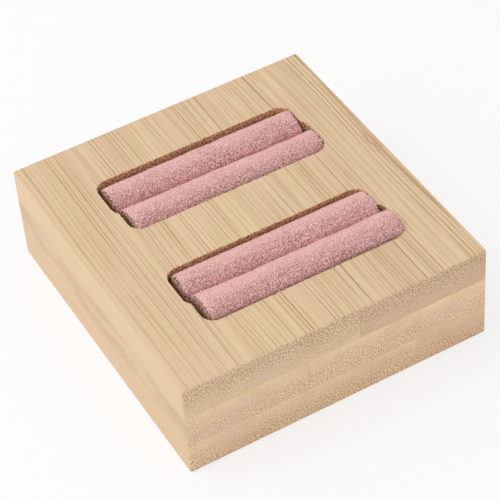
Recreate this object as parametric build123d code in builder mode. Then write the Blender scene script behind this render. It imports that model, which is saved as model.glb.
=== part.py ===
"""Ring display tray: a small bamboo block with two routed slots, each holding a push-in pad of two soft rolls.

The block is glued up from three plies of flat bamboo strips, then sawn, eased and routed as one piece.
Each pad is a card with two suede-covered foam rolls on it, and a ring is pushed down between the rolls.

Millimetres. The origin is at the middle of the underside. +X runs along the slots, +Y along the grain
towards the rear, +Z up.
"""

import os

from build123d import *

# Block
block_width = 59.0
block_depth = 63.0
strip_thickness = 6.7
strips_across = 2.68
edge_radius = 0.4
# The glue lines in each ply, from the bottom ply up: how many, and where the first is, in strip widths from the middle
glue_line_count = {"bottom": 2, "middle": 3, "top": 3}
first_glue_line = {"bottom": -0.305, "middle": -1.273, "top": -0.809}

# Slots, each routed in two passes that are shifted a little along the slot
slot_width = 14.6
slot_depth = 9.0
slot_corner_radius = 2.5
slot_spacing = 11.5
slot_end_margin = 9.4
slot_row_x = 0.8
slot_row_y = -0.3
pass_width = 9.6
pass_shift = 0.75

# Pads
pad_clearance = 0.3
card_thickness = 1.0
roll_gap = 0.1
roll_left_gap = 0.9
roll_right_gap = 0.3
heel_radius = 1.2
crown_rise = 2.5
cover_thickness = 0.6
cover_seam = 1.2
core_clearance = 0.05
end_taper = 2.5
end_draw_in = 0.3
# How far the crown of each roll stands above the block
rear_back_crown = 0.4
rear_front_crown = 0.6
front_back_crown = 0.8
front_front_crown = 1.5

# Worked out from the sizes above
block_height = len(glue_line_count) * strip_thickness
strip_width = block_width / strips_across
slot_floor = block_height - slot_depth
slot_pitch = slot_width + slot_spacing
slot_y = {"rear": slot_row_y + slot_pitch / 2, "front": slot_row_y - slot_pitch / 2}
pass_length = block_width - 2 * slot_end_margin - pass_shift
pass_offset = (slot_width - pass_width) / 2
# The back pass is shifted to the left and the front pass to the right
pass_x = {"back": slot_row_x - pass_shift / 2, "front": slot_row_x + pass_shift / 2}
pass_y = {"back": pass_offset, "front": -pass_offset}
roll_width = (slot_width - 2 * pad_clearance - roll_gap) / 2
roll_y = {"back": (roll_width + roll_gap) / 2, "front": -(roll_width + roll_gap) / 2}
roll_base = slot_floor + card_thickness
crowns = {
    ("rear", "back"): rear_back_crown,
    ("rear", "front"): rear_front_crown,
    ("front", "back"): front_back_crown,
    ("front", "front"): front_front_crown,
}
tallest_crown = max(crowns.values())


def save(builder, name):
    """Labels a finished piece and writes it as one file."""
    builder.part.label = name
    export_step(builder.part, f"parts/{name}.step")


def save_lengths(builder, name):
    """Writes a strip as one piece, or as its separate lengths, front to rear, where the slots cut it through."""
    lengths = builder.part.solids().sort_by(Axis.Y)
    if len(lengths) == 1:
        save(builder, name)
        return
    for number, length in enumerate(lengths, start=1):
        with BuildPart() as piece:
            add(length)
        save(piece, f"{name}_length_{number}")


def draw_slot(centre_y, inset):
    """Outline of a slot, or of what fits it with an inset all round: two rounded passes, side by side."""
    for row in pass_x:
        with Locations((pass_x[row], centre_y + pass_y[row])):
            RectangleRounded(pass_length - 2 * inset, pass_width - 2 * inset, slot_corner_radius - inset)


def strip_sides(ply):
    """Places across the block where the strips of a ply begin and end, from its left side to its right."""
    glue_lines = [(first_glue_line[ply] + number) * strip_width for number in range(glue_line_count[ply])]
    return [-block_width / 2] + glue_lines + [block_width / 2]


def draw_roll_section(width, height, heel, rise):
    """Outline across a roll: flat underneath, rounded heels, straight sides and a crown that rises between them."""
    half = width / 2
    shoulder = height - rise
    with BuildLine() as outline:
        Line((heel - half, 0), (half - heel, 0))
        CenterArc((half - heel, heel), heel, -90, 90)
        Line((half, heel), (half, shoulder))
        EllipticalCenterArc((0, shoulder), half, rise, start_angle=0, arc_size=90)
        EllipticalCenterArc((0, shoulder), half, rise, start_angle=90, arc_size=90)
        Line((-half, shoulder), (-half, heel))
        CenterArc((heel - half, heel), heel, 180, 90)
    make_face(outline.edges())


def loft_roll(left, right, centre_y, height, inset, mode=Mode.ADD):
    """A roll between two places along the slot, drawn in at its ends, with an inset all round its section."""
    stations = {left: end_draw_in, left + end_taper: 0, right - end_taper: 0, right: end_draw_in}
    sections = []
    for place, draw_in in stations.items():
        margin = inset + draw_in
        base = roll_base + inset
        with BuildSketch(Plane(origin=(place, centre_y, base), x_dir=(0, 1, 0), z_dir=(1, 0, 0))) as section:
            draw_roll_section(
                roll_width - 2 * margin, height - inset - margin, heel_radius - inset, crown_rise - inset)
        sections.append(section.sketch)
    loft(sections, ruled=True, mode=mode)


os.makedirs("parts", exist_ok=True)

# The whole block as it is machined after the glue-up: eased edges and two slots
with BuildPart() as machined_block:
    with BuildSketch():
        Rectangle(block_width, block_depth)
    extrude(amount=block_height)
    fillet(machined_block.edges(), radius=edge_radius)
    with BuildSketch(Plane.XY.offset(slot_floor)):
        for centre_y in slot_y.values():
            draw_slot(centre_y, inset=0)
    extrude(amount=slot_depth, mode=Mode.SUBTRACT)

# Strips of each ply, numbered from the left: a slot cuts the strips that it crosses into separate lengths
for level, ply in enumerate(glue_line_count):
    sides = strip_sides(ply)
    for number, (left, right) in enumerate(zip(sides, sides[1:]), start=1):
        with BuildPart() as strip:
            with BuildSketch(Plane.XY.offset(level * strip_thickness)):
                with Locations(((left + right) / 2, 0)):
                    Rectangle(right - left, block_depth)
            extrude(amount=strip_thickness)
            add(machined_block.part, mode=Mode.INTERSECT)
        save_lengths(strip, f"{ply}_ply_strip_{number}")

# Pads: a card that drops into the slot, with a covered foam roll along each side of it
for slot, centre_y in slot_y.items():
    # The room that a pad has in its slot, from its floor to above the rolls
    with BuildPart() as pad_room:
        with BuildSketch(Plane.XY.offset(slot_floor)):
            draw_slot(centre_y, inset=pad_clearance)
        extrude(amount=slot_depth + 2 * tallest_crown)

    with BuildPart() as card:
        with BuildSketch(Plane.XY.offset(slot_floor)):
            draw_slot(centre_y, inset=pad_clearance)
        extrude(amount=card_thickness)
    save(card, f"{slot}_pad_card")

    for row, offset_y in roll_y.items():
        left = pass_x[row] - pass_length / 2 + roll_left_gap
        right = pass_x[row] + pass_length / 2 - roll_right_gap
        middle_y = centre_y + offset_y
        roll_height = slot_depth - card_thickness + crowns[slot, row]
        core_inset = cover_thickness + core_clearance

        with BuildPart() as core:
            loft_roll(left, right, middle_y, roll_height, core_inset)
            add(pad_room.part, mode=Mode.INTERSECT)
        save(core, f"{slot}_pad_{row}_roll_foam")

        # The suede goes round the foam, and its two edges stop short of each other on the card
        with BuildPart() as cover:
            loft_roll(left, right, middle_y, roll_height, 0)
            loft_roll(left, right, middle_y, roll_height, cover_thickness, mode=Mode.SUBTRACT)
            with BuildSketch(Plane.XY.offset(roll_base)):
                with Locations(((left + right) / 2, middle_y)):
                    Rectangle(right - left, cover_seam)
            extrude(amount=cover_thickness, mode=Mode.SUBTRACT)
            add(pad_room.part, mode=Mode.INTERSECT)
        save(cover, f"{slot}_pad_{row}_roll_cover")
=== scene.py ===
"""Dresses a ring display tray: bamboo on its glued strips, suede rolls over foam, and a white studio."""

import math
import random

import bmesh
import bpy
import numpy as np
from bpy.props import FloatProperty, FloatVectorProperty, IntProperty, PointerProperty
from bpy.types import Operator, Panel, PropertyGroup
from mathutils import Matrix, Vector


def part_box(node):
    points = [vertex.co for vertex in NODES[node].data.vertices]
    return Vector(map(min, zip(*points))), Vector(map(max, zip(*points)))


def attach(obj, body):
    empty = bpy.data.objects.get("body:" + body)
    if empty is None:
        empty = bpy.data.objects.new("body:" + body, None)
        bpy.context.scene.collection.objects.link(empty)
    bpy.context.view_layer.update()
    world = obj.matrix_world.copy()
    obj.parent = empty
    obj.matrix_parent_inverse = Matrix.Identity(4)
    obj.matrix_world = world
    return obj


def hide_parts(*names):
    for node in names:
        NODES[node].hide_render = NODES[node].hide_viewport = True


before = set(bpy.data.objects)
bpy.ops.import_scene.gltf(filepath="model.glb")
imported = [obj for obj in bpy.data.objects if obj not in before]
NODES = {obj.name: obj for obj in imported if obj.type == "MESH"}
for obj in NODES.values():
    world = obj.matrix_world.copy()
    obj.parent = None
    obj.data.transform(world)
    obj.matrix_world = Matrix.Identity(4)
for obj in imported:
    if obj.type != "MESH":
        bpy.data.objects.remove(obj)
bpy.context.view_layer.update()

bl_info = {
    "name": "Ring display tray",
    "version": (1, 0, 0),
    "blender": (4, 5, 0),
    "location": "3D View > Sidebar > Ring tray",
    "description": "Dresses a bamboo ring display tray with lift-out pads of suede rolls",
    "category": "Object",
}

MM = 0.001
SIDEBAR = "Ring tray"

STRIPS = sorted(node for node in NODES if "_strip_" in node)
PADS = ("rear_pad", "front_pad")
ROWS = ("back", "front")


def box_mm(*nodes):
    """Lowest and highest corner of some CAD nodes together, in millimetres."""
    corners = [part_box(node) for node in nodes]
    low = Vector([min(low[axis] for low, high in corners) for axis in range(3)]) / MM
    high = Vector([max(high[axis] for low, high in corners) for axis in range(3)]) / MM
    return low, high


BLOCK_LOW, BLOCK_HIGH = box_mm(*STRIPS)

# The knuckle of the cane: its strip, its middle in millimetres, and how much of it a millimetre takes up
# across and along the strip
KNUCKLED_STRIP = "top_ply_strip_4"
KNUCKLE_MIDDLE = (27.9, 2.5)
KNUCKLE_PER_MM = (0.60, 0.26)
# Strips that are browner than the rest on their cut ends, and strips with stronger fibres on their long faces
BROWN_ENDS = {"top_ply_strip_3": 0.34, "top_ply_strip_4": 0.46, "bottom_ply_strip_3": 0.16}
STRONG_FIBRES = {"top_ply_strip_3": 1.2, "top_ply_strip_4": 2.0}
# How light the sides and the ends of each ply are, how much broad stains show on its sides, and how much the
# dots show on its ends. One strip has its own lightness.
SIDE_TONES = {"top": 1.03, "middle": 0.99, "bottom": 1.0}
END_TONES = {"top": 1.0, "middle": 1.075, "middle_ply_strip_4": 1.13, "bottom": 1.06}
SIDE_STAINS = {"top": 0.0, "middle": 0.26, "bottom": 0.08}
END_DOTS = {"top": 1.05, "middle": 0.85, "bottom": 1.0}
# How light the top of the block is
TOP_TONE = 0.985

# The slots in millimetres: from a roll to each end of its slot, the width of each of the cutter's two passes,
# the clearance round a card, and the radius of the corners
ROLL_LEFT_GAP = 0.9
ROLL_RIGHT_GAP = 0.3
PASS_WIDTH = 9.6
CARD_CLEARANCE = 0.3
SLOT_CORNER = 2.5
# The rounded lower edges of a cover and of a foam core, in millimetres
COVER_HEEL = 1.2
FOAM_HEEL = 0.8


# Sizes and colours that a user may change

class BambooSettings(PropertyGroup):
    """The block's bamboo."""
    ground: FloatVectorProperty(
        name="Ground", description="Colour of the pale wood between the fibres", subtype="COLOR",
        default=(0.830, 0.605, 0.375))
    fibre: FloatVectorProperty(
        name="Fibre", description="Colour of the fibre bundles on the long faces", subtype="COLOR",
        default=(0.470, 0.280, 0.140))
    cut: FloatVectorProperty(
        name="End", description="Colour of the wood between the fibres on the end faces", subtype="COLOR",
        default=(0.900, 0.655, 0.420))
    pore: FloatVectorProperty(
        name="Pore", description="Colour of the cut fibre bundles on the end faces", subtype="COLOR",
        default=(0.330, 0.150, 0.070))
    blush: FloatVectorProperty(
        name="Blush", description="Colour that some parts of the wood turn to", subtype="COLOR",
        default=(0.820, 0.560, 0.430))
    knuckle: FloatVectorProperty(
        name="Knuckle", description="Colour of the knuckle of the cane", subtype="COLOR",
        default=(0.600, 0.310, 0.215))
    routed: FloatVectorProperty(
        name="Routed wall", description="Colour of the walls of the slots, browned by the cutter",
        subtype="COLOR", default=(0.800, 0.490, 0.280))
    routed_pore: FloatVectorProperty(
        name="Routed pore", description="Colour of the fibre bundles in the walls of the slots",
        subtype="COLOR", default=(0.220, 0.105, 0.055))
    bundle: FloatProperty(
        name="Bundle spacing", description="Distance from one fibre bundle to the next", subtype="DISTANCE",
        default=0.40 * MM, precision=5)
    streak: FloatProperty(
        name="Streak spacing", description="Distance from one dark streak to the next", subtype="DISTANCE",
        default=1.15 * MM, precision=5)
    glue: FloatProperty(
        name="Glue line", description="Half the width of the dark line along each joint", subtype="DISTANCE",
        default=0.05 * MM, precision=5)
    relief: FloatProperty(
        name="Relief", description="Depth of the grain that sanding leaves", subtype="DISTANCE",
        default=0.02 * MM, precision=5)


class SuedeSettings(PropertyGroup):
    """The covers of the rolls."""
    crest: FloatVectorProperty(
        name="Crest", description="Colour of the tips of the nap", subtype="COLOR",
        default=(0.940, 0.565, 0.530))
    # Root is the colour of the painted shade down between the tufts of the nap
    root: FloatVectorProperty(
        name="Root", description="Colour down in the nap", subtype="COLOR", default=(0.330, 0.110, 0.105))
    rise: FloatProperty(
        name="Rise", description="How far the round crown of a roll rises from its sides",
        subtype="DISTANCE", default=2.0 * MM, precision=4)
    thickness: FloatProperty(
        name="Thickness", description="Thickness of the suede", subtype="DISTANCE",
        default=0.5 * MM, precision=5)
    nap: FloatProperty(
        name="Nap", description="Size of one tuft of the nap", subtype="DISTANCE",
        default=0.32 * MM, precision=5)
    nap_height: FloatProperty(
        name="Nap height", description="Height of the tufts", subtype="DISTANCE",
        default=0.10 * MM, precision=5)
    lump_height: FloatProperty(
        name="Lump height", description="Height of the soft lumps along a roll", subtype="DISTANCE",
        default=0.25 * MM, precision=5)
    swell: FloatProperty(
        name="Swell", description="How far the foam may push the cover out", subtype="DISTANCE",
        default=0.10 * MM, precision=5)
    fray: FloatProperty(
        name="Fray", description="How ragged the cut ends of a cover are", subtype="DISTANCE",
        default=0.25 * MM, precision=5)
    fibres: IntProperty(
        name="Fibres", description="Loose fibres that stand out of the nap of each roll", default=3000)
    fibre_length: FloatProperty(
        name="Fibre length", description="Length of the longest of them", subtype="DISTANCE",
        default=0.6 * MM, precision=5)


class FoamSettings(PropertyGroup):
    """The foam in the rolls, seen at their cut ends."""
    colour: FloatVectorProperty(
        name="Foam", description="Colour of the foam", subtype="COLOR", default=(0.540, 0.325, 0.240))
    pore: FloatProperty(
        name="Pore", description="Size of one pore", subtype="DISTANCE", default=0.35 * MM, precision=5)
    recess: FloatProperty(
        name="Recess", description="How far a foam end lies inside the end of its roll",
        subtype="DISTANCE", default=0.05 * MM, precision=5)


class CardSettings(PropertyGroup):
    """The cards under the rolls."""
    colour: FloatVectorProperty(
        name="Card", description="Colour of the card", subtype="COLOR", default=(0.340, 0.270, 0.205))


class StageSettings(PropertyGroup):
    """Floor, light and camera."""
    floor: FloatVectorProperty(
        name="Floor", description="Colour of the floor", subtype="COLOR", default=(0.960, 0.960, 0.960))
    sky: FloatProperty(
        name="Sky", description="Strength of the light from all round", default=0.68)
    key: FloatProperty(
        name="Key", description="Light that the lamp adds on a surface that faces it", default=0.38)
    lamp_distance: FloatProperty(
        name="Lamp distance", description="From the object to the lamp", subtype="DISTANCE", default=0.70)
    lamp_size: FloatProperty(
        name="Lamp size", description="Side of the square lamp", subtype="DISTANCE", default=0.55)
    azimuth: FloatProperty(
        name="Azimuth", description="Camera's direction round the object", subtype="ANGLE",
        default=math.radians(-26.562))
    elevation: FloatProperty(
        name="Elevation", description="Camera's angle above the horizon", subtype="ANGLE",
        default=math.radians(44.537))
    roll: FloatProperty(
        name="Roll", description="Camera's turn about its own axis", subtype="ANGLE",
        default=math.radians(-4.846))
    distance: FloatProperty(
        name="Distance", description="From the middle of the underside to the camera", subtype="DISTANCE",
        default=388.2 * MM)
    rise: FloatProperty(
        name="Rise", description="How far the camera is moved up in its picture", subtype="DISTANCE",
        default=7.25 * MM, precision=4)
    lens: FloatProperty(
        name="Lens", description="Focal length in millimetres on a 36 mm sensor", default=155.07)


# Shader maths

class Wire:
    """An output socket in a material, on which Python's operators add the nodes for their maths."""

    def __init__(self, shader, socket):
        self.shader = shader
        self.socket = socket

    def maths(self, operation, *values):
        return self.shader.node("ShaderNodeMath", {"operation": operation}, values)

    def __add__(self, other):
        return self.maths("ADD", self, other)

    def __sub__(self, other):
        return self.maths("SUBTRACT", self, other)

    def __mul__(self, other):
        return self.maths("MULTIPLY", self, other)

    def __truediv__(self, other):
        return self.maths("DIVIDE", self, other)

    def __rsub__(self, other):
        return self.maths("SUBTRACT", other, self)

    def __abs__(self):
        return self.maths("ABSOLUTE", self)

    __radd__ = __add__
    __rmul__ = __mul__

    def root(self):
        return self.maths("SQRT", self)

    def sign(self):
        return self.maths("SIGN", self)

    def at_least(self, other):
        return self.maths("MAXIMUM", self, other)

    def at_most(self, other):
        return self.maths("MINIMUM", self, other)

    def step(self, start, end):
        """0 before start and 1 past end, with a smooth step between them. End may be the lower one."""
        return self.shader.node(
            "ShaderNodeMapRange", {"interpolation_type": "SMOOTHSTEP", "clamp": True}, (self, start, end))


class Shader:
    """One material, built up node by node."""

    def __init__(self, name):
        self.material = bpy.data.materials.new(name)
        self.material.use_nodes = True
        self.tree = self.material.node_tree
        self.tree.nodes.clear()

    def node(self, kind, settings=None, values=(), output=0):
        """A node with its settings, and the values or wires for its inputs, by position or by name."""
        node = self.tree.nodes.new(kind)
        for name, setting in (settings or {}).items():
            setattr(node, name, setting)
        pairs = values.items() if isinstance(values, dict) else enumerate(values)
        for key, value in pairs:
            if isinstance(value, Wire):
                self.tree.links.new(value.socket, node.inputs[key])
            else:
                node.inputs[key].default_value = value
        return Wire(self, node.outputs[output]) if len(node.outputs) else node

    def place(self):
        """Where a point is on its object, in millimetres."""
        position = self.node("ShaderNodeTexCoord", output="Object")
        return self.node("ShaderNodeVectorMath", {"operation": "SCALE"}, {0: position, "Scale": 1 / MM})

    def facing(self):
        """Which way the surface faces on its object."""
        return self.node("ShaderNodeTexCoord", output="Normal")

    def split(self, vector):
        """The three parts of a vector."""
        node = self.node("ShaderNodeSeparateXYZ", values=(vector,)).socket.node
        return [Wire(self, output) for output in node.outputs]

    def vector(self, x, y, z):
        return self.node("ShaderNodeCombineXYZ", values=(x, y, z))

    def noise(self, vector, scale=1.0, detail=2.0, roughness=0.5):
        return self.node("ShaderNodeTexNoise", {"noise_dimensions": "3D"},
                         {"Vector": vector, "Scale": scale, "Detail": detail, "Roughness": roughness})

    def cells(self, vector, scale=1.0, randomness=1.0, dimensions="3D"):
        """Distance to the nearest of the scattered points, in cells."""
        return self.node("ShaderNodeTexVoronoi", {"voronoi_dimensions": dimensions, "feature": "F1"},
                         {"Vector": vector, "Scale": scale, "Randomness": randomness})

    def strands(self, level, spacing, width):
        """Thin lines scattered along a level: from 0 between them to how dark each of them is."""
        scattered = self.node("ShaderNodeTexVoronoi", {"voronoi_dimensions": "1D", "feature": "F1"},
                              {"W": level, "Scale": 1 / spacing, "Randomness": 1.0}).socket.node
        distance, tint = (Wire(self, scattered.outputs[name]) for name in ("Distance", "Color"))
        return distance.step(width / spacing, 0.0) * self.split(tint)[0]

    def mix(self, share, first, second):
        """The first colour, going to the second as the share goes from 0 to 1."""
        factor, a, b, result = 0, 6, 7, 2
        colours = [tone if isinstance(tone, Wire) else (*tone, 1.0) for tone in (first, second)]
        sockets = {factor: share, a: colours[0], b: colours[1]}
        return self.node("ShaderNodeMix", {"data_type": "RGBA"}, sockets, result)

    def shade(self, colour, brightness):
        """The colour, with its brightness times a value."""
        return self.node("ShaderNodeHueSaturation", values={"Color": colour, "Value": brightness})

    def surface(self, colour, roughness, height, depth, **constants):
        """Ends the material in a Principled surface, with a relief that is some metres deep."""
        bump = self.node("ShaderNodeBump", values={"Height": height, "Distance": depth, "Strength": 1.0})
        inputs = {"Base Color": colour, "Roughness": roughness, "Normal": bump}
        inputs.update({name.replace("_", " "): value for name, value in constants.items()})
        principled = self.node("ShaderNodeBsdfPrincipled", values=inputs)
        self.node("ShaderNodeOutputMaterial", values={"Surface": principled})
        return self.material


# Materials

def outside_rounded(x, y, half_width, half_depth, corner):
    """How far a point is outside a rectangle with rounded corners round the origin: less than 0 within it."""
    across = abs(x) - (half_width - corner)
    along = abs(y) - (half_depth - corner)
    past_x, past_y = across.at_least(0.0), along.at_least(0.0)
    return (past_x * past_x + past_y * past_y).root() + across.at_least(along).at_most(0.0) - corner


def outside_slots(x, y):
    """How far a point is outside the nearer slot, seen from above, in millimetres: less than 0 within it."""
    (rear_low, rear_high), (front_low, front_high) = (box_mm(f"{pad}_card") for pad in PADS)
    rear_y, front_y = (rear_low.y + rear_high.y) / 2, (front_low.y + front_high.y) / 2
    between = (rear_y + front_y) / 2

    # The slots are alike, so a point is measured from the middle of its own one
    from_between = y - between
    slot_y = from_between - from_between.sign() * (rear_y - between)
    pass_y = (rear_high.y - rear_low.y + 2 * CARD_CLEARANCE - PASS_WIDTH) / 2
    distances = []
    for row, side in zip(ROWS, (1, -1)):
        roll_low, roll_high = box_mm(f"rear_pad_{row}_roll_cover")
        left, right = roll_low.x - ROLL_LEFT_GAP, roll_high.x + ROLL_RIGHT_GAP
        distances.append(outside_rounded(
            x - (left + right) / 2, slot_y - side * pass_y, (right - left) / 2, PASS_WIDTH / 2, SLOT_CORNER))
    return distances[0].at_most(distances[1])


class BambooStrip:
    """One strip: fibre bundles run along it, and show as lines on its long faces and as dots on its ends."""

    def __init__(self, node, number, looks):
        self.node = node
        self.looks = looks
        self.ply = node.split("_")[0]
        self.low, self.high = box_mm(node)
        self.shader = Shader(f"bamboo_{node}")
        self.x, self.y, self.z = self.shader.split(self.shader.place())
        facing_x, facing_y, facing_z = self.shader.split(self.shader.facing())
        self.sides = abs(facing_x).step(0.5, 0.9)
        self.ends = abs(facing_y).step(0.5, 0.9)
        self.upright = 1 - abs(facing_z)
        # Carries the patterns on to another part of their noise, so that no two strips are alike
        self.own = 5.17 * number + 1.3

    def noise(self, x, y, z, detail=2.0, roughness=0.5):
        return self.shader.noise(self.shader.vector(x, y, z), 1.0, detail, roughness)

    def lay_grain(self):
        """Lets the grain wander along the strip, and swerve round the knuckle of the cane."""
        wander = self.noise(self.x * 0.05 + self.own, self.y * 0.02, self.z * 0.3, detail=1.0) - 0.5
        self.grain_x = self.x + wander * 2.0 + self.own
        if self.node == KNUCKLED_STRIP:
            across = (self.x - KNUCKLE_MIDDLE[0]) * KNUCKLE_PER_MM[0]
            along = (self.y - KNUCKLE_MIDDLE[1]) * KNUCKLE_PER_MM[1]
            self.knuckle = (across * across + along * along).step(1.0, 0.0)
            swirl = self.noise(self.x * 0.45, self.y * 0.22, self.z) - 0.5
            self.grain_x = self.grain_x + self.knuckle * swirl * 2.0
        side_level = self.z + wander * 1.2 + self.own * 3
        self.level = self.grain_x * (1 - self.sides) + side_level * self.sides

    def find_fibres(self):
        """Finds the fibres of the long faces: thin lines of many strengths that come and go, over bands."""
        strands, level, y, own = self.shader.strands, self.level, self.y, self.own
        bundle, streak = self.looks.bundle / MM, self.looks.streak / MM
        thin = strands(level, spacing=bundle * 0.8, width=0.10)
        middling = strands(level + 31.7, spacing=streak * 0.7, width=0.12)
        strong = strands(level + 73.1, spacing=streak * 2.2, width=0.15)
        self.pale = strands(level + 51.3, spacing=streak, width=0.20)
        fade = self.noise(level * 0.9, y * 0.05, own, detail=1.0).step(0.25, 0.60)
        grain = self.noise(level * 3.6, y * 0.02, own, detail=3.0, roughness=0.75) - 0.5
        bands = self.noise(level * 0.30, y * 0.015, own) - 0.5
        lines = (thin * 0.66 + middling * 0.88) * fade + strong * 1.05 + grain * 0.70 + bands * 0.60
        lines = lines * (1 - self.sides * 0.85) * STRONG_FIBRES.get(self.node, 1.0) + 0.07
        stains = self.noise(y * 0.085, self.z * 0.36, own, detail=3.0, roughness=0.6).step(0.38, 0.60)
        self.fibres = (lines + stains * self.sides * SIDE_STAINS[self.ply]).at_least(0.0).at_most(1.0)

    def find_bundles(self):
        """Finds the cut bundles of the ends: small and close near the cane's skin, sparse near its pith."""
        # The skin was on the strip's upper side in the top ply, and on its lower side in the others
        thickness = self.high.z - self.low.z
        outer = (self.z - self.low.z) / thickness if self.ply == "top" else (self.high.z - self.z) / thickness
        self.density = outer.step(-0.30, 0.75)
        bundle = self.looks.bundle / MM
        jitter = (self.noise(self.grain_x * 0.8, self.z * 0.8, self.own, detail=1.0) - 0.5) * 0.3
        section = self.shader.vector(self.grain_x + jitter, self.z + jitter, 0.0)
        near_skin = self.shader.cells(section, 1 / bundle, 0.65, "2D").step(0.43, 0.18)
        near_pith = self.shader.cells(section, 0.84 / bundle, 0.75, "2D").step(0.34, 0.12)
        dots = near_skin * self.density + near_pith * (1 - self.density) * 0.8
        self.bundles = dots * END_DOTS[self.ply]

    def long_colour(self):
        """Colour of the top, the underside and the long sides."""
        colour = self.shader.mix(self.fibres, self.looks.ground, self.looks.fibre)
        tone = self.sides * (SIDE_TONES[self.ply] - TOP_TONE) + TOP_TONE
        return self.shader.shade(colour, self.pale * (0.09 - self.sides * 0.08) + tone)

    def end_colour(self):
        """Colour of the two cut ends."""
        patches = self.noise(self.x * 0.22 + self.own, self.z * 0.5, self.own) - 0.5
        specks = self.noise(self.x * 2.9, self.z * 2.9, self.own, detail=1.0) - 0.5
        cut = self.bundles * (self.density * 0.46 + 0.36) + self.density * 0.03
        cut = cut + patches * 0.36 + specks * 0.70
        colour = self.shader.mix(cut.at_least(0.0).at_most(1.0), self.looks.cut, self.looks.pore)
        tone = END_TONES.get(self.node, END_TONES[self.ply]) + 0.01
        colour = self.shader.shade(colour, specks * 0.40 + tone)
        brown = (1 - self.density * 0.6) * BROWN_ENDS.get(self.node, 0.0)
        return self.shader.mix(brown, colour, self.looks.knuckle)

    def stain_knuckle(self, colour):
        """Browns the knuckle in short streaks along its grain."""
        streaks = self.noise(self.grain_x * 3.6, self.y * 0.55, self.z, detail=3.0, roughness=0.7)
        return self.shader.mix(self.knuckle * streaks.step(0.40, 0.58) * 0.70, colour, self.looks.knuckle)

    def draw_joints(self, colour):
        """Draws a thin dark line along each joint with another strip, but not on the outside of the block."""
        width = self.looks.glue / MM
        glue = 0.0
        for place, edges, block in ((self.x, (self.low.x, self.high.x), (BLOCK_LOW.x, BLOCK_HIGH.x)),
                                    (self.z, (self.low.z, self.high.z), (BLOCK_LOW.z, BLOCK_HIGH.z))):
            for edge, limit in zip(edges, block):
                if abs(edge - limit) > 0.5:
                    glue = abs(place - edge).step(width, width * 0.4) + glue
        return self.shader.mix(glue * (0.40 - self.sides * 0.25), colour, self.looks.fibre)

    def brown_slots(self, colour):
        """Browns the walls, floors and ragged rims of the slots, and also gives how much of that shows."""
        outside = outside_slots(self.x, self.y)
        ragged = self.noise(self.x * 1.6, self.y * 1.6, self.z * 0.3, roughness=0.7)
        depth = BLOCK_HIGH.z - self.z
        within = outside.step(0.20, 0.10)
        wall = within * self.upright * (depth - (0.52 - ragged)).step(0.0, 0.12)
        floor = within * depth.step(0.3, 0.6)
        rim = (outside - (ragged - 0.46) * 1.3).step(0.06, -0.06) * (1 - self.upright)
        routed = wall.at_least(floor).at_least(rim * 0.85)
        char = self.noise(self.x * 2.5, self.y * 2.5, self.z * 1.9, detail=3.0, roughness=0.65)
        dark = (self.bundles * 0.5 + char.step(0.42, 0.60) * 0.75).at_most(1.0)
        burnt = self.shader.mix(dark, self.looks.routed, self.looks.routed_pore)
        return self.shader.mix(routed, colour, burnt), routed

    def material(self):
        self.lay_grain()
        self.find_fibres()
        self.find_bundles()
        colour = self.shader.mix(self.ends, self.long_colour(), self.end_colour())
        blush = self.noise(self.x * 0.13 + self.own, self.y * 0.05, self.z * 0.2).step(0.44, 0.76)
        colour = self.shader.mix(blush * 0.40, colour, self.looks.blush)
        if self.node == KNUCKLED_STRIP:
            colour = self.stain_knuckle(colour)
        colour = self.draw_joints(colour)
        routed = 0.0
        if self.ply != "bottom":
            colour, routed = self.brown_slots(colour)
        roughness = self.fibres * 0.15 + 0.46 + routed * 0.3
        height = 1 - (self.fibres * (1 - self.ends) + self.bundles * self.ends)
        return self.shader.surface(colour, roughness, height, self.looks.relief, IOR=1.45)


def suede(looks):
    """Short brushed nap: pale on its tips, with deep pink specks that are painted shade between its tufts,
    painted heavier and darker on the flanks that face the front.
    """
    shader = Shader("suede")
    place = shader.place()
    x, y, z = shader.split(place)
    turned_back = shader.split(shader.facing())[1]
    fine = 1 / (looks.nap / MM)
    strokes = shader.vector(x * fine * 1.8, y * fine * 0.85, z * fine * 0.85)
    tufts = shader.noise(strokes, detail=1.0, roughness=0.8)
    fuzz = shader.noise(place, scale=fine * 2.3, detail=1.0, roughness=0.7)
    brushed = shader.noise(shader.vector(x * 0.16, y * 0.35, z * 0.35), detail=1.0).step(0.30, 0.66)
    # Painted shade: the specks grow heavier on flanks that face the front; the brushed streaks add real
    # variation of the nap
    front_shade_and_brushing = turned_back.step(0.55, -0.65) * 0.62 + brushed * 0.14 + 0.16
    # Specks are painted shade down between the standing tufts, coloured toward the root colour
    specks = tufts.step(0.59, 0.37) * front_shade_and_brushing
    # The last term is painted shade: a slight darkening on faces turned to the front, down towards the seam
    share = specks * 0.86 + (0.5 - fuzz) * 0.95 + turned_back.step(0.1, -0.9) * 0.06
    colour = shader.mix(share.at_least(0.0).at_most(1.0), looks.crest, looks.root)
    height = fuzz * 0.35 - specks * 0.8
    return shader.surface(
        colour, 0.92, height, looks.nap_height, Sheen_Weight=0.15, Sheen_Roughness=0.45,
        Sheen_Tint=(1.0, 0.82, 0.80, 1.0), Specular_IOR_Level=0.15)


def foam(looks):
    """Open-cell foam, as its cut ends show it, with painted shade in its pores."""
    shader = Shader("foam")
    place = shader.place()
    open_pores = shader.cells(place, MM / looks.pore).step(0.55, 0.15)
    crumbs = shader.noise(place, scale=2 * MM / looks.pore, detail=3.0)
    # Painted shade: the open pores are darkened as if shaded down in them
    pore_shade = (0.150, 0.070, 0.050)
    colour = shader.shade(shader.mix(open_pores * 0.6, looks.colour, pore_shade), crumbs * 0.8 + 0.6)
    height = 1 - open_pores + crumbs * 0.3
    return shader.surface(colour, 0.95, height, looks.pore * 0.5, Specular_IOR_Level=0.1)


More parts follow.
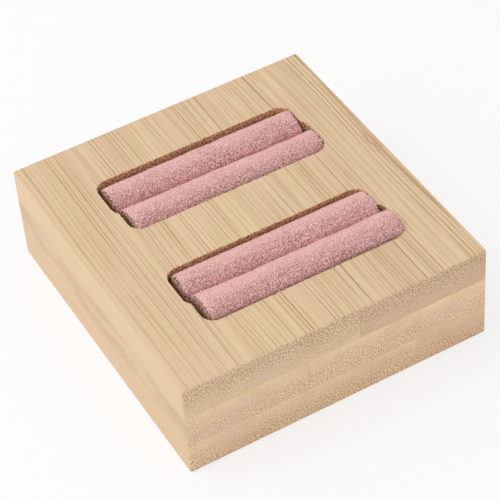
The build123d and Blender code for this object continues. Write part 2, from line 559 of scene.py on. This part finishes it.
def card(looks):
    """Plain pressed board with short fibres in it."""
    shader = Shader("card")
    place = shader.place()
    x, y, z = shader.split(place)
    fibres = shader.noise(shader.vector(x * 0.6, y * 3.0, z * 3.0), detail=4.0, roughness=0.7)
    specks = shader.cells(place, scale=1.2).step(0.16, 0.08)
    speck = (0.1, 0.07, 0.05)
    colour = shader.shade(shader.mix(specks * 0.4, looks.colour, speck), fibres * 0.5 + 0.75)
    return shader.surface(colour, 0.85, fibres, 0.03 * MM)


# Modelling

def wear(piece, material):
    """Makes this the piece's only material."""
    piece.data.materials.clear()
    piece.data.materials.append(material)


def only(piece):
    """Selects this piece and nothing else."""
    bpy.ops.object.select_all(action="DESELECT")
    piece.select_set(True)
    bpy.context.view_layer.objects.active = piece


def settle(piece):
    """Puts the piece's place, turn and scale into its mesh."""
    only(piece)
    bpy.ops.object.transform_apply(location=True, rotation=True, scale=True)


def add_box(name, low, high):
    """A box from one corner to the other, in millimetres, as a start for a piece."""
    bpy.ops.object.select_all(action="DESELECT")
    bpy.ops.mesh.primitive_cube_add(size=1.0, location=(low + high) / 2 * MM, scale=(high - low) * MM)
    piece = bpy.context.active_object
    piece.name = name
    piece.data.name = name
    settle(piece)
    return piece


def pick(piece, mode, wanted):
    """Goes into edit mode with only the wanted vertices, edges or faces of the piece selected."""
    only(piece)
    bpy.ops.object.mode_set(mode="EDIT")
    bpy.ops.mesh.select_mode(type=mode)
    bpy.ops.mesh.select_all(action="DESELECT")
    mesh = bmesh.from_edit_mesh(piece.data)
    kinds = {"VERT": mesh.verts, "EDGE": mesh.edges, "FACE": mesh.faces}
    for element in kinds[mode]:
        element.select_set(wanted(element))
    mesh.select_flush_mode()
    bmesh.update_edit_mesh(piece.data)


def leave_edit():
    bpy.ops.object.mode_set(mode="OBJECT")


def modify(piece, kind, **settings):
    """Adds a modifier to the piece and applies it."""
    only(piece)
    modifier = piece.modifiers.new(kind.title(), kind)
    for name, value in settings.items():
        setattr(modifier, name, value)
    bpy.ops.object.modifier_apply(modifier=modifier.name)


def points(piece):
    """The piece's vertices as an array, in metres."""
    flat = np.empty(len(piece.data.vertices) * 3, np.float32)
    piece.data.vertices.foreach_get("co", flat)
    return flat.reshape(-1, 3)


def move_points(piece, places):
    piece.data.vertices.foreach_set("co", places.astype(np.float32).ravel())
    piece.data.update()


def resize(piece, factor):
    only(piece)
    piece.scale = (factor,) * 3
    settle(piece)


def roll_form(name, low, high, heel, rise):
    """A closed roll that fills a box: flat underneath, with round heels, straight sides and a low crown."""
    piece = add_box(name, low, high)
    middle = (low + high) / 2 * MM
    width = (high.y - low.y) * MM

    def lengthwise(edge, top):
        first, second = (vertex.co for vertex in edge.verts)
        return abs(first.x - second.x) > width and ((first.z > middle.z) == top)

    # The bevels of the two upper edges stop just short of each other
    nearly_half = 0.497
    for top, offset, segments in ((True, width * nearly_half, 12), (False, heel * MM, 4)):
        pick(piece, "EDGE", lambda edge: lengthwise(edge, top))
        bpy.ops.mesh.bevel(offset=offset, segments=segments, profile=0.5, affect="EDGES")
        leave_edit()

    # The bevel gives half a circle, which is pressed down to the crown's own rise
    places = points(piece)
    shoulder, crest = high.z * MM - width / 2, high.z * MM
    above = places[:, 2] > shoulder
    places[above, 2] = crest - (crest - places[above, 2]) * rise * MM / (width / 2)
    move_points(piece, places)
    return piece


def shift_seam(piece, pad, low, high):
    """Bends a roll so that the line where it meets its neighbour wanders, and keeps its outer side."""
    places = points(piece)
    x, y = places[:, 0] / MM, places[:, 1] / MM
    middle_y = sum(box_mm(f"{pad}_card"), Vector()).y / 2
    across = np.clip(1 - np.abs(y - middle_y) / (high.y - low.y), 0, 1)
    from_left = np.clip((x - low.x) / (high.x - low.x), 0, 1)
    # How far the seam goes to the rear, in millimetres: most at its left end
    if pad == "front_pad":
        wander = 0.75 * np.exp(-from_left * 6.0) - 0.10
    else:
        wander = 0.45 * np.exp(-from_left * 14.0) - 0.20 * np.exp(-((from_left - 0.8) / 0.16) ** 2)
    places[:, 1] += (wander * across * MM).astype(np.float32)
    move_points(piece, places)


def round_over(piece, low, high, rise):
    """Lets the crown drop at both ends of a roll, and leaves its cut edges a little uneven."""
    places = points(piece)
    x, z = places[:, 0] / MM, places[:, 2] / MM
    reach = 1.8
    unevenness = 0.12
    left_drop, right_drop = 0.34, 0.06
    near_end = np.clip(1 - np.minimum(x - low.x, high.x - x) / reach, 0, 1) ** 2
    crown = np.clip((z - (high.z - rise)) / rise, 0, 1)
    drop = np.where(x < (low.x + high.x) / 2, left_drop, right_drop)
    places[:, 2] -= (near_end * crown * rise * drop * MM).astype(np.float32)
    uneven = np.sin(places[:, 1] / MM * 5.1) * 0.6 + np.sin(places[:, 1] / MM * 12.7 + 1.3) * 0.4
    places[:, 0] += (near_end * uneven * unevenness * np.sign(x) * MM).astype(np.float32)
    move_points(piece, places)


def fray(piece, reach, seed):
    """Roughens the cut edges at both ends of a cover by up to a reach, in metres."""
    places = points(piece)
    x = places[:, 0]
    near_cut = np.clip(1 - np.minimum(x - x.min(), x.max() - x) / (2 * reach), 0, 1)
    places[:, 0] += near_cut * np.random.default_rng(seed).uniform(-reach, reach, len(x)) * -np.sign(x)
    move_points(piece, places)


def add_fibres(name, cover, count, longest, seed):
    """Loose curved fibres that stand out of a cover, each a thin tapered thread, joined as one piece."""
    draw = random.Random(seed)
    thickness = 0.018 * MM
    threads = bpy.data.curves.new(name, "CURVE")
    threads.dimensions = "3D"
    threads.bevel_depth = thickness
    threads.bevel_resolution = 0
    skin = cover.data.vertices
    for number in range(count):
        root = skin[draw.randrange(len(skin))]
        length = longest * draw.uniform(0.35, 1.0)
        sideways = Vector([draw.uniform(-1, 1) for axis in range(3)])
        lean = (root.normal * 0.8 + sideways * 0.7).normalized()
        curl = Vector([draw.uniform(-1, 1) for axis in range(3)]) * 0.4
        thread = threads.splines.new("POLY")
        thread.points.add(2)
        for step, point in enumerate(thread.points):
            along = step / 2
            place = root.co - root.normal * thickness * 2 + (lean * along + curl * along * along) * length
            point.co = (*place, 1.0)
            point.radius = 1.1 - along
    bpy.ops.object.select_all(action="DESELECT")
    piece = bpy.data.objects.new(name, threads)
    bpy.context.scene.collection.objects.link(piece)
    only(piece)
    bpy.ops.object.convert(target="MESH")
    return bpy.context.active_object


def fill_out(piece, low, high):
    """Stretches a swollen roll to the width and the height of its box, with its underside kept."""
    places = points(piece)
    for axis, fixed in ((1, (low.y + high.y) / 2 * MM), (2, low.z * MM)):
        reach = np.abs(places[:, axis] - fixed).max()
        room = (high[axis] - low[axis]) * MM / (2 if axis == 1 else 1)
        places[:, axis] = fixed + (places[:, axis] - fixed) * room / reach
    move_points(piece, places)


def swell(piece, reach):
    """Lets the foam's pressure puff the cover out as cloth, by no more than a reach in metres."""
    # Cloth behaves on a cushion's size, so the roll is simulated larger than it is
    larger = 12.0
    fixed_height = 0.35
    frames = 20
    resize(piece, larger)
    start = points(piece)
    bottom, top = start[:, 2].min(), start[:, 2].max()
    held = piece.vertex_groups.new(name="held")
    seated = np.nonzero(start[:, 2] < bottom + (top - bottom) * fixed_height)[0]
    held.add(seated.tolist(), 1.0, "REPLACE")
    cloth = piece.modifiers.new("Cloth", "CLOTH")
    cloth.settings.quality = 5
    cloth.settings.mass = 0.3
    cloth.settings.tension_stiffness = 15
    cloth.settings.compression_stiffness = 15
    cloth.settings.shear_stiffness = 5
    cloth.settings.bending_stiffness = 0.5
    cloth.settings.use_pressure = True
    cloth.settings.uniform_pressure_force = 4.0
    cloth.settings.effector_weights.gravity = 0.0
    cloth.settings.vertex_group_mass = "held"
    cloth.collision_settings.use_collision = False
    cloth.point_cache.frame_start = 1
    cloth.point_cache.frame_end = frames
    scene = bpy.context.scene
    for number in range(1, frames + 1):
        scene.frame_set(number)
    only(piece)
    bpy.ops.object.modifier_apply(modifier=cloth.name)
    scene.frame_set(1)
    piece.vertex_groups.clear()

    moved = points(piece) - start
    length = np.linalg.norm(moved, axis=1, keepdims=True)
    limit = reach * larger
    capped = moved * (limit * np.tanh(length / limit) / np.maximum(length, 1e-9))
    move_points(piece, start + capped)
    resize(piece, 1 / larger)


def roughen(piece, name, size, height):
    """Displaces the piece's surface in lumps of this size and height, in metres."""
    lumps = bpy.data.textures.new(name, "CLOUDS")
    lumps.noise_scale = size
    lumps.noise_depth = 1
    modify(piece, "DISPLACE", texture=lumps, texture_coords="LOCAL", mid_level=0.5, strength=height)


def cut_ends(piece, left, right):
    """Cuts the piece off square at two places along the slot and leaves its ends open."""
    for place, normal in ((left, (-1, 0, 0)), (right, (1, 0, 0))):
        pick(piece, "FACE", lambda face: True)
        bpy.ops.mesh.bisect(plane_co=(place * MM, 0, 0), plane_no=normal, use_fill=False, clear_outer=True)
        leave_edit()


def rolls():
    """The name, pad, row and box of each roll."""
    for pad in PADS:
        for row in ROWS:
            name = f"{pad}_{row}_roll"
            yield name, pad, *box_mm(f"{name}_cover")


# Operators

class RINGTRAY_OT_bamboo_block(Operator):
    """Gives each glued strip of the block its own piece of bamboo"""
    bl_idname = "ringtray.bamboo_block"
    bl_label = "Bamboo block"

    def execute(self, context):
        looks = context.scene.ring_tray_bamboo
        for number, node in enumerate(STRIPS):
            wear(NODES[node], BambooStrip(node, number, looks).material())
        return {"FINISHED"}


class RINGTRAY_OT_pad_cards(Operator):
    """Gives the cards under the rolls their board"""
    bl_idname = "ringtray.pad_cards"
    bl_label = "Pad cards"

    def execute(self, context):
        board = card(context.scene.ring_tray_card)
        for pad in PADS:
            wear(NODES[f"{pad}_card"], board)
        return {"FINISHED"}


class RINGTRAY_OT_suede_rolls(Operator):
    """Makes the suede cover of each roll, swollen over its foam, with its nap"""
    bl_idname = "ringtray.suede_rolls"
    bl_label = "Suede rolls"

    def execute(self, context):
        looks = context.scene.ring_tray_suede
        cloth = suede(looks)
        spare = Vector((3.0, 0, 0))
        slack = looks.swell / MM * 0.6
        remesh = 0.4 * MM
        lump = 5 * MM
        cut_back = 0.35
        for seed, (name, pad, low, high) in enumerate(rolls()):
            inner = Vector((0, slack, 0))
            headroom = Vector((0, 0, slack))
            piece = roll_form(f"{name}_suede", low - spare + inner, high + spare - inner - headroom,
                              COVER_HEEL, looks.rise / MM)
            modify(piece, "REMESH", mode="VOXEL", voxel_size=remesh)
            swell(piece, looks.swell)
            fill_out(piece, low, high)
            cut_ends(piece, low.x + cut_back, high.x)
            round_over(piece, low, high, looks.rise / MM)
            shift_seam(piece, pad, low, high)
            modify(piece, "SUBSURF", levels=1, render_levels=1)
            roughen(piece, "lumps", lump, looks.lump_height)
            roughen(piece, "nap", looks.nap * 1.4, looks.nap_height * 1.6)
            fray(piece, looks.fray, seed)
            fibres = add_fibres(f"{name}_fibres", piece, looks.fibres, looks.fibre_length, seed)
            modify(piece, "SOLIDIFY", thickness=looks.thickness, offset=-1.0)
            for part in (piece, fibres):
                only(part)
                bpy.ops.object.shade_smooth()
                wear(part, cloth)
                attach(part, pad)
            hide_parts(f"{name}_cover")
        return {"FINISHED"}


class RINGTRAY_OT_foam_cores(Operator):
    """Makes the foam in each roll, which shows at the roll's cut ends"""
    bl_idname = "ringtray.foam_cores"
    bl_label = "Foam cores"

    def execute(self, context):
        looks = context.scene.ring_tray_foam
        room_for_lumps = 0.25
        cover = context.scene.ring_tray_suede.thickness / MM + room_for_lumps
        sponge = foam(looks)
        remesh = 0.3 * MM
        for name, pad, low, high in rolls():
            recess = Vector((looks.recess / MM, cover, cover))
            rise = context.scene.ring_tray_suede.rise / MM - cover
            piece = roll_form(f"{name}_sponge", low + recess, high - recess, FOAM_HEEL, rise)
            modify(piece, "REMESH", mode="VOXEL", voxel_size=remesh)
            round_over(piece, low, high, rise)
            shift_seam(piece, pad, low, high)
            roughen(piece, "pores", looks.pore, looks.pore * 0.5)
            only(piece)
            bpy.ops.object.shade_smooth()
            wear(piece, sponge)
            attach(piece, pad)
            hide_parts(f"{name}_foam")
        return {"FINISHED"}


class RINGTRAY_OT_stage(Operator):
    """Lays the floor and sets the light and the camera"""
    bl_idname = "ringtray.stage"
    bl_label = "Stage"

    def execute(self, context):
        stage = context.scene.ring_tray_stage
        self.lay_floor(stage)
        self.light(context.scene, stage)
        self.set_camera(context.scene, stage)
        return {"FINISHED"}

    def lay_floor(self, stage):
        bpy.ops.object.select_all(action="DESELECT")
        width, below = 6.0, 0.02 * MM
        bpy.ops.mesh.primitive_plane_add(size=width, location=(0, 0, -below))
        floor = bpy.context.active_object
        floor.name = "floor"
        settle(floor)
        shader = Shader("floor")
        glow = shader.node("ShaderNodeEmission", values={"Color": (1.0, 1.0, 1.0, 1.0), "Strength": 1.0})
        paint = shader.node("ShaderNodeBsdfDiffuse", values={"Color": (*stage.floor, 1.0)})
        # The floor glows, but only to the camera, so that it is nearly as white as the sky behind it
        seen = shader.node("ShaderNodeLightPath", output="Is Camera Ray")
        glow_share = 0.7
        mixed = shader.node("ShaderNodeMixShader", values={0: seen * glow_share, 1: paint, 2: glow})
        shader.node("ShaderNodeOutputMaterial", values={"Surface": mixed})
        wear(floor, shader.material)

    def light(self, scene, stage):
        world = bpy.data.worlds.new("studio")
        scene.world = world
        world.use_nodes = True
        nodes, links = world.node_tree.nodes, world.node_tree.links
        nodes.clear()
        seen = nodes.new("ShaderNodeLightPath")
        strength = nodes.new("ShaderNodeMix")
        strength.inputs["A"].default_value = stage.sky
        strength.inputs["B"].default_value = 1.0
        sky = nodes.new("ShaderNodeBackground")
        sky.inputs["Color"].default_value = (1.0, 1.0, 1.0, 1.0)
        end = nodes.new("ShaderNodeOutputWorld")
        links.new(seen.outputs["Is Camera Ray"], strength.inputs["Factor"])
        links.new(strength.outputs["Result"], sky.inputs["Strength"])
        links.new(sky.outputs["Background"], end.inputs["Surface"])

        towards_lamp = Vector((-0.52, 0.14, 0.84)).normalized()
        lamp = bpy.data.lights.new("softbox", "AREA")
        lamp.shape = "SQUARE"
        lamp.size = stage.lamp_size
        # The light that falls on a facing surface is the lamp's power over pi times its distance squared
        lamp.energy = stage.key * math.pi * math.pi * stage.lamp_distance ** 2
        softbox = bpy.data.objects.new("softbox", lamp)
        softbox.matrix_world = Matrix.Translation(towards_lamp * stage.lamp_distance) @ \
            towards_lamp.to_track_quat("Z", "Y").to_matrix().to_4x4()
        scene.collection.objects.link(softbox)

    def set_camera(self, scene, stage):
        sin_a, cos_a = math.sin(stage.azimuth), math.cos(stage.azimuth)
        sin_e, cos_e = math.sin(stage.elevation), math.cos(stage.elevation)
        back = Vector((sin_a * cos_e, -cos_a * cos_e, sin_e))
        right = Vector((cos_a, sin_a, 0))
        up = back.cross(right)
        sin_r, cos_r = math.sin(stage.roll), math.cos(stage.roll)
        across = right * cos_r + up * sin_r
        upright = up * cos_r - right * sin_r
        lens = bpy.data.cameras.new("camera")
        lens.sensor_width = 36.0
        lens.sensor_fit = "AUTO"
        lens.lens = stage.lens
        lens.clip_start = 0.01
        lens.clip_end = 20.0
        camera = bpy.data.objects.new("camera", lens)
        turn = Matrix((across, upright, back)).transposed().to_4x4()
        camera.matrix_world = Matrix.Translation(back * stage.distance + upright * stage.rise) @ turn
        scene.collection.objects.link(camera)
        scene.camera = camera
        scene.view_settings.view_transform = "Standard"


class RINGTRAY_PT_sidebar(Panel):
    """Buttons that dress the tray, piece by piece"""
    bl_idname = "RINGTRAY_PT_sidebar"
    bl_label = SIDEBAR
    bl_space_type = "VIEW_3D"
    bl_region_type = "UI"
    bl_category = SIDEBAR

    def draw(self, context):
        for operator in OPERATORS:
            self.layout.operator(operator.bl_idname)
        for name, settings in SETTINGS.items():
            box = self.layout.box()
            box.label(text=settings.__doc__)
            for value in settings.__annotations__:
                box.prop(getattr(context.scene, name), value)


SETTINGS = {
    "ring_tray_bamboo": BambooSettings,
    "ring_tray_suede": SuedeSettings,
    "ring_tray_foam": FoamSettings,
    "ring_tray_card": CardSettings,
    "ring_tray_stage": StageSettings,
}
OPERATORS = (
    RINGTRAY_OT_stage,
    RINGTRAY_OT_bamboo_block,
    RINGTRAY_OT_pad_cards,
    RINGTRAY_OT_suede_rolls,
    RINGTRAY_OT_foam_cores,
)
CLASSES = (*SETTINGS.values(), *OPERATORS, RINGTRAY_PT_sidebar)


def register():
    for cls in CLASSES:
        bpy.utils.register_class(cls)
    for name, settings in SETTINGS.items():
        setattr(bpy.types.Scene, name, PointerProperty(type=settings))


def unregister():
    for name in SETTINGS:
        delattr(bpy.types.Scene, name)
    for cls in reversed(CLASSES):
        bpy.utils.unregister_class(cls)


def main():
    register()
    bpy.ops.ringtray.stage()
    bpy.ops.ringtray.bamboo_block()
    bpy.ops.ringtray.pad_cards()
    bpy.ops.ringtray.suede_rolls()
    bpy.ops.ringtray.foam_cores()


if __name__ == "__main__":
    main()
